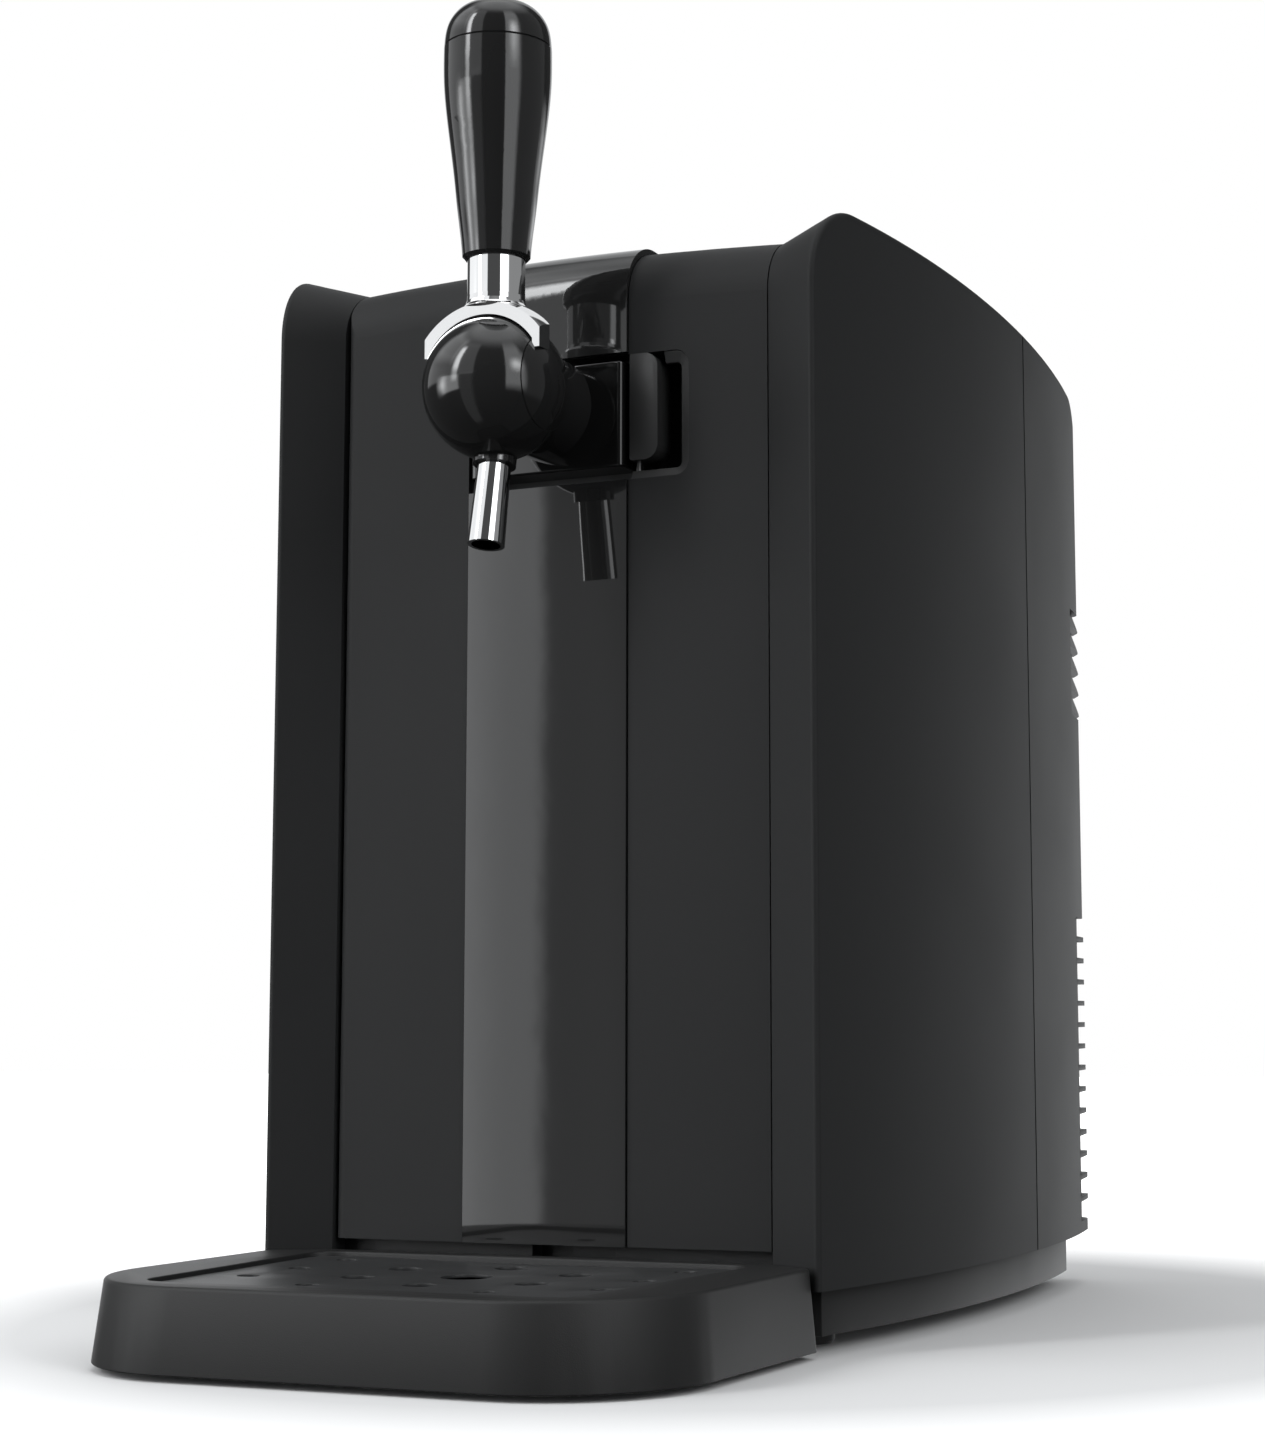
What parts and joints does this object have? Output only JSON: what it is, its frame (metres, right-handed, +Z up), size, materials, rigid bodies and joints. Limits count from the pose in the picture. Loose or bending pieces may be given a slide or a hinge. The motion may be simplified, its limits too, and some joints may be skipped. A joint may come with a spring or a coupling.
{
  "type": "mini keg beer dispenser",
  "caption": "Countertop cooler for a mini keg: bow-sided casing, hinged door with lever tap and spout, latch paddle, slide-out drip tray with pierced cover.",
  "frame": {"origin": "middle of the footprint of casing and drip tray, on the surface it stands on", "axes": "+X to the user's right, +Y to the back, +Z up"},
  "size_m": [0.263, 0.45, 0.499],
  "materials": {
    "matte_charcoal": "fine matte moulded texture",
    "dark_plinth": "matte",
    "gloss_black": "high gloss",
    "tap_gloss": "high gloss",
    "chrome": "polished",
    "rubber_black": "matte",
    "inner_plastic": "fine matte",
    "liner_plastic": "satin",
    "foam": "rigid foam",
    "aluminium": "bare",
    "steel": "bare",
    "board_green": "solder mask",
    "white_plastic": "matte",
    "ceramic": "fired",
    "hose_clear": "translucent"
  },
  "bodies": {
    "casing": {"base_plinth": "dark_plinth", "body_feet": "rubber_black", "side_panel_right": "matte_charcoal", "side_panel_left": "matte_charcoal", "rear_cover": "matte_charcoal", "rear_grille": "matte_charcoal", "rear_louvres": "dark_plinth", "rear_screws": "steel", "top_cover": "matte_charcoal", "chamber_liner": "liner_plastic", "chamber_insulation": "foam", "keg_seat_ring": "rubber_black", "coupler_guide": "inner_plastic", "cold_block": "aluminium", "peltier_module": "ceramic", "heat_sink": "aluminium", "fan_frame": "inner_plastic", "power_supply": "white_plastic", "mains_inlet": "inner_plastic", "switch_bezel": "inner_plastic", "air_pump": "steel", "air_hose": "hose_clear", "control_board": "board_green", "hinge_brackets": "matte_charcoal", "hinge_pins": "steel", "catch_plates": "steel"},
    "fan": {"fan_rotor": "inner_plastic"},
    "switch_rocker": {"power_switch": "gloss_black"},
    "coupler_lever_body": {"coupler_lever": "inner_plastic"},
    "coupler_head_body": {"coupler_head": "white_plastic"},
    "door": {"door_inner_shell": "dark_plinth", "door_insulation": "foam", "door_gasket": "rubber_black", "door_panel_left": "matte_charcoal", "door_panel_right": "matte_charcoal", "gloss_strip_lower": "gloss_black", "gloss_strip_upper": "gloss_black", "display_board": "board_green", "tap_bar": "gloss_black", "door_magnets": "steel", "paddle_pin": "steel", "tap_barrel": "tap_gloss", "tap_ball": "tap_gloss", "spout": "chrome", "spout_collar": "tap_gloss"},
    "paddle": {"latch_paddle": "gloss_black"},
    "tap_lever": {"tap_side_cap_right": "tap_gloss", "tap_side_cap_left": "tap_gloss", "lever_pivot_pin": "steel", "tap_arch": "chrome", "handle_neck": "chrome", "handle_grip": "tap_gloss", "handle_cap": "tap_gloss"},
    "valve": {"valve_slide": "white_plastic"},
    "tray": {"drip_tray": "dark_plinth", "tray_feet": "rubber_black"},
    "tray_cover": {"drip_tray_cover": "matte_charcoal"}
  },
  "joints": [
    {"name": "door_hinge", "type": "hinge", "parent": "casing", "child": "door", "pos_m": [-0.0878, -0.0695, 0.2], "axis": [0, 0, -1], "range_deg": [0, 90]},
    {"name": "tap_lever_hinge", "type": "hinge", "parent": "door", "child": "tap_lever", "pos_m": [0, -0.115, 0.35], "axis": [1, 0, 0], "range_deg": [0, 45]},
    {"name": "valve_travel", "type": "slide", "parent": "door", "child": "valve", "axis": [0, 1, 0], "range_m": [0, 0.004]},
    {"name": "paddle_hinge", "type": "hinge", "parent": "door", "child": "paddle", "pos_m": [0.0378, -0.0718, 0.3475], "axis": [0, 0, -1], "range_deg": [0, 20], "stiffness_Nm_per_rad": 0.06},
    {"name": "tray_slide", "type": "slide", "parent": "casing", "child": "tray", "axis": [0, -1, 0], "range_m": [0, 0.17]},
    {"name": "tray_cover_lift", "type": "slide", "parent": "tray", "child": "tray_cover", "axis": [0, 0, 1], "range_m": [0, 0.06]},
    {"name": "coupler_lever_hinge", "type": "hinge", "parent": "casing", "child": "coupler_lever_body", "pos_m": [0, 0.072, 0.354], "axis": [1, 0, 0], "range_deg": [0, 40]},
    {"name": "coupler_head_travel", "type": "slide", "parent": "casing", "child": "coupler_head_body", "axis": [0, 0, -1], "range_m": [0, 0.008]},
    {"name": "fan_spin", "type": "hinge", "parent": "casing", "child": "fan", "pos_m": [0, 0.2005, 0.095], "axis": [0, 1, 0], "continuous": true},
    {"name": "power_switch_hinge", "type": "hinge", "parent": "casing", "child": "switch_rocker", "pos_m": [-0.026, 0.216, 0.207], "axis": [0, 0, -1], "range_deg": [0, 14]}
  ],
  "couplings": [
    {"joint": "valve_travel", "follows": "tap_lever_hinge", "m_per_rad": 0.005088},
    {"joint": "coupler_head_travel", "follows": "coupler_lever_hinge", "m_per_rad": 0.011448}
  ]
}
